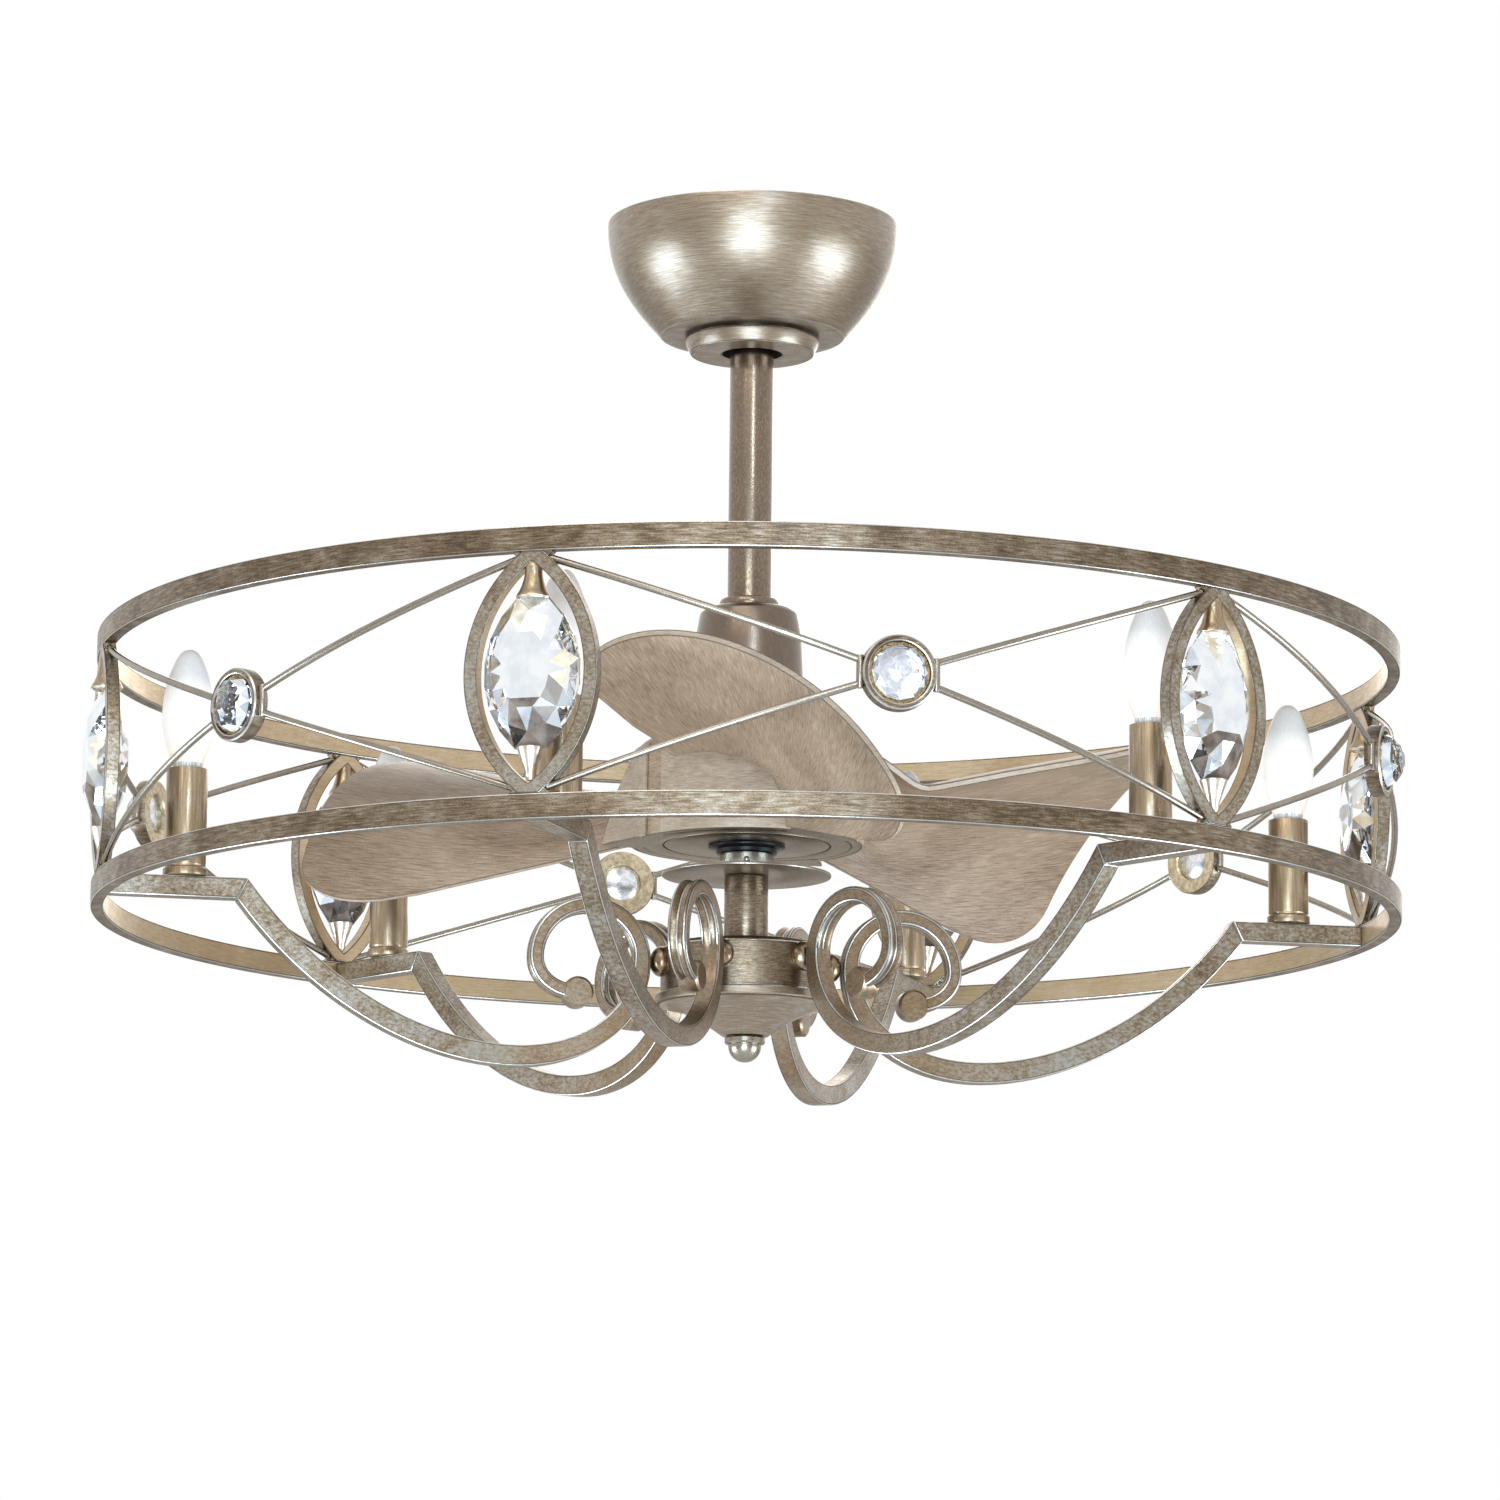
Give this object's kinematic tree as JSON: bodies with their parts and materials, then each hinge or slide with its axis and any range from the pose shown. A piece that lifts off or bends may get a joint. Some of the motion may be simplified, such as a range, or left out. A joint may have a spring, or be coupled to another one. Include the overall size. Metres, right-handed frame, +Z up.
{
  "type": "chandelier ceiling fan",
  "caption": "Ceiling fan whose cupped blades turn inside a round metal cage with pointed and round crystals, candle lamps on scrolled arms, a downrod and a bell canopy.",
  "frame": {"origin": "centre of the ceiling bracket's top face, where the fan meets the ceiling", "axes": "+Z up along the downrod, -Y toward the front pointed crystal, +X to the right seen from the front"},
  "size_m": [0.8216, 0.8166, 0.5332],
  "materials": {
    "antique_silver": "antique silver, brushed and worn",
    "dark_iron": "dark painted iron",
    "motor_core": "stacked steel with copper windings",
    "bearing_steel": "polished steel",
    "black_plastic": "matt black",
    "grained_wood": "greige grain, satin",
    "frosted_glass": "frosted, lit from inside",
    "clear_crystal": "clear cut crystal"
  },
  "bodies": {
    "ceiling_side": {"ceiling_bracket": "dark_iron", "canopy": "antique_silver", "canopy_trim": "antique_silver"},
    "hanging": {"hanger_ball": "dark_iron", "downrod": "antique_silver", "coupling": "antique_silver", "coupling_cover": "antique_silver", "stator": "motor_core", "upper_bearing": "bearing_steel", "lower_bearing": "bearing_steel", "gland": "black_plastic", "stem": "antique_silver", "light_plate": "antique_silver", "hub_body": "antique_silver", "hub_cone": "antique_silver", "finial": "antique_silver", "top_ring": "antique_silver", "bottom_ring": "antique_silver", "panel_1": "antique_silver", "panel_2": "antique_silver", "panel_3": "antique_silver", "panel_4": "antique_silver", "panel_5": "antique_silver", "panel_6": "antique_silver", "arm_1": "antique_silver", "arm_2": "antique_silver", "arm_3": "antique_silver", "arm_4": "antique_silver", "arm_5": "antique_silver", "arm_6": "antique_silver", "candle_cover_1": "antique_silver", "candle_cover_2": "antique_silver", "candle_cover_3": "antique_silver", "candle_cover_4": "antique_silver", "candle_cover_5": "antique_silver", "candle_cover_6": "antique_silver", "bulb_1": "frosted_glass", "bulb_2": "frosted_glass", "bulb_3": "frosted_glass", "bulb_4": "frosted_glass", "bulb_5": "frosted_glass", "bulb_6": "frosted_glass", "marquise_crystal_1": "clear_crystal", "marquise_crystal_2": "clear_crystal", "marquise_crystal_3": "clear_crystal", "marquise_crystal_4": "clear_crystal", "marquise_crystal_5": "clear_crystal", "marquise_crystal_6": "clear_crystal", "round_crystal_1": "clear_crystal", "round_crystal_2": "clear_crystal", "round_crystal_3": "clear_crystal", "round_crystal_4": "clear_crystal", "round_crystal_5": "clear_crystal", "round_crystal_6": "clear_crystal"},
    "rotor": {"rotor_shell": "grained_wood", "rotor_base": "antique_silver", "magnet_ring": "dark_iron", "blade_1": "grained_wood", "blade_2": "grained_wood", "blade_3": "grained_wood"}
  },
  "joints": [
    {"name": "hanger_swing", "type": "hinge", "parent": "ceiling_side", "child": "hanging", "pos_m": [0, 0, -0.03], "axis": [1, 0, 0], "range_deg": [-4, 4]},
    {"name": "fan_spin", "type": "hinge", "parent": "hanging", "child": "rotor", "pos_m": [0, 0, -0.37], "axis": [0, 0, 1], "continuous": true}
  ]
}
